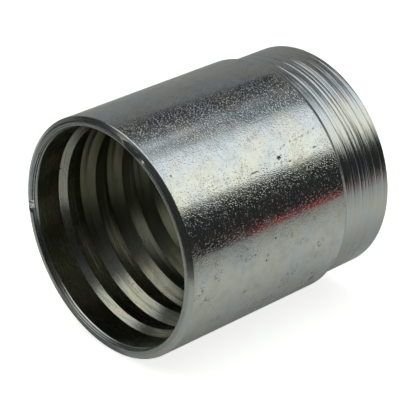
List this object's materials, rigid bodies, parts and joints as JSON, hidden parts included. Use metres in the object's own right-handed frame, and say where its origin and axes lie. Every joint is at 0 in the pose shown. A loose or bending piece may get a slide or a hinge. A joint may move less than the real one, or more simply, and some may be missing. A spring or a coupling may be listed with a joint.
{
  "type": "crimp hose ferrule",
  "caption": "Zinc-plated steel crimp ferrule: a short sleeve with toothed bore, reduced turned band and inner collar, squeezed over a hydraulic hose and its insert.",
  "frame": {"origin": "centre of the flat face at the collar end, on which the ferrule stands", "axes": "+Z along the sleeve's axis, from the collar end up to the hose mouth"},
  "size_m": [0.038, 0.038, 0.0418],
  "materials": {
    "zinc_steel": "bright zinc plate on drawn and turned steel"
  },
  "bodies": {
    "root": {"ferrule": "zinc_steel"}
  },
  "joints": []
}
